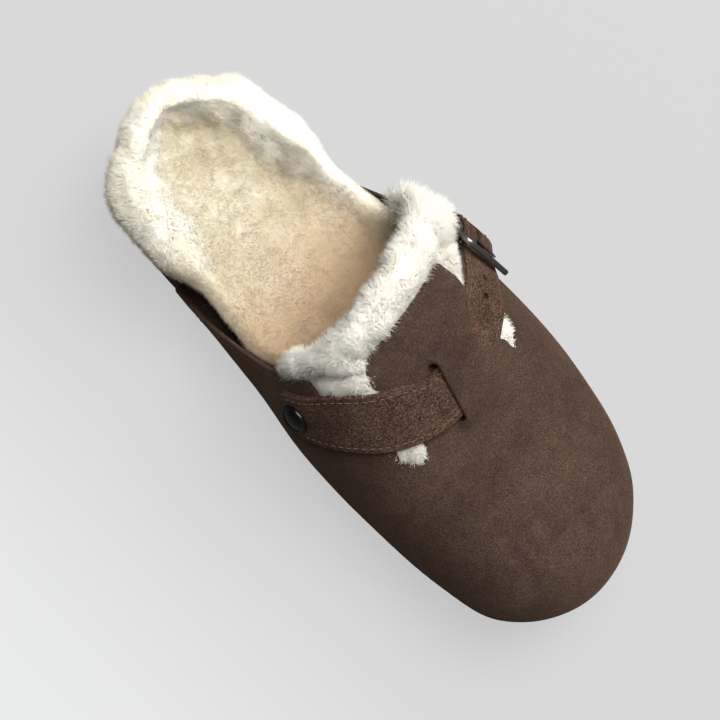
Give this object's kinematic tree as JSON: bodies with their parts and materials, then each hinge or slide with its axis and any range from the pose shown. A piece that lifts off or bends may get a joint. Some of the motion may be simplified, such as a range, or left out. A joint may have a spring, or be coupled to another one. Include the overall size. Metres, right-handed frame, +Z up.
{
  "type": "open-back clog",
  "caption": "Left-foot closed-toe, open-back suede clog with a strap and buckle over the instep, lined throughout with shearling, on a cork and foam sole.",
  "frame": {"origin": "on the floor under the middle of the sole's length, on the line from heel to toe", "axes": "+Y from heel to toe, +X to the inner side of the foot, +Z up"},
  "size_m": [0.1046, 0.2581, 0.0973],
  "materials": {
    "suede": "napped suede",
    "strap_suede": "rough napped suede",
    "shearling": "curly wool pile",
    "cork": "sealed cork",
    "jute": "woven jute",
    "sole": "matte foam",
    "buckle_metal": "satin pewter",
    "stud_metal": "gloss dark metal"
  },
  "bodies": {
    "clog": {"outsole": "sole", "midsole": "cork", "footbed": "cork", "footbed_jute": "jute", "footbed_shearling": "shearling", "upper": "suede", "upper_lining": "shearling", "collar_cuff": "shearling", "strap": "strap_suede", "strap_backing": "strap_suede", "stud": "stud_metal", "stud_base": "buckle_metal", "chape": "strap_suede", "chape_rivet": "buckle_metal", "chape_rivet_base": "buckle_metal"},
    "buckle": {"buckle_frame": "buckle_metal"},
    "prong": {"buckle_prong": "buckle_metal"}
  },
  "joints": [
    {"name": "buckle_hinge", "type": "hinge", "parent": "clog", "child": "buckle", "pos_m": [-0.04608, -0.00256, 0.06173], "axis": [0.2869, -0.7002, 0.6538], "range_deg": [0, 15]},
    {"name": "prong_hinge", "type": "hinge", "parent": "buckle", "child": "prong", "pos_m": [-0.04608, -0.00256, 0.06173], "axis": [0.2869, -0.7002, 0.6538], "range_deg": [0, 25]}
  ]
}
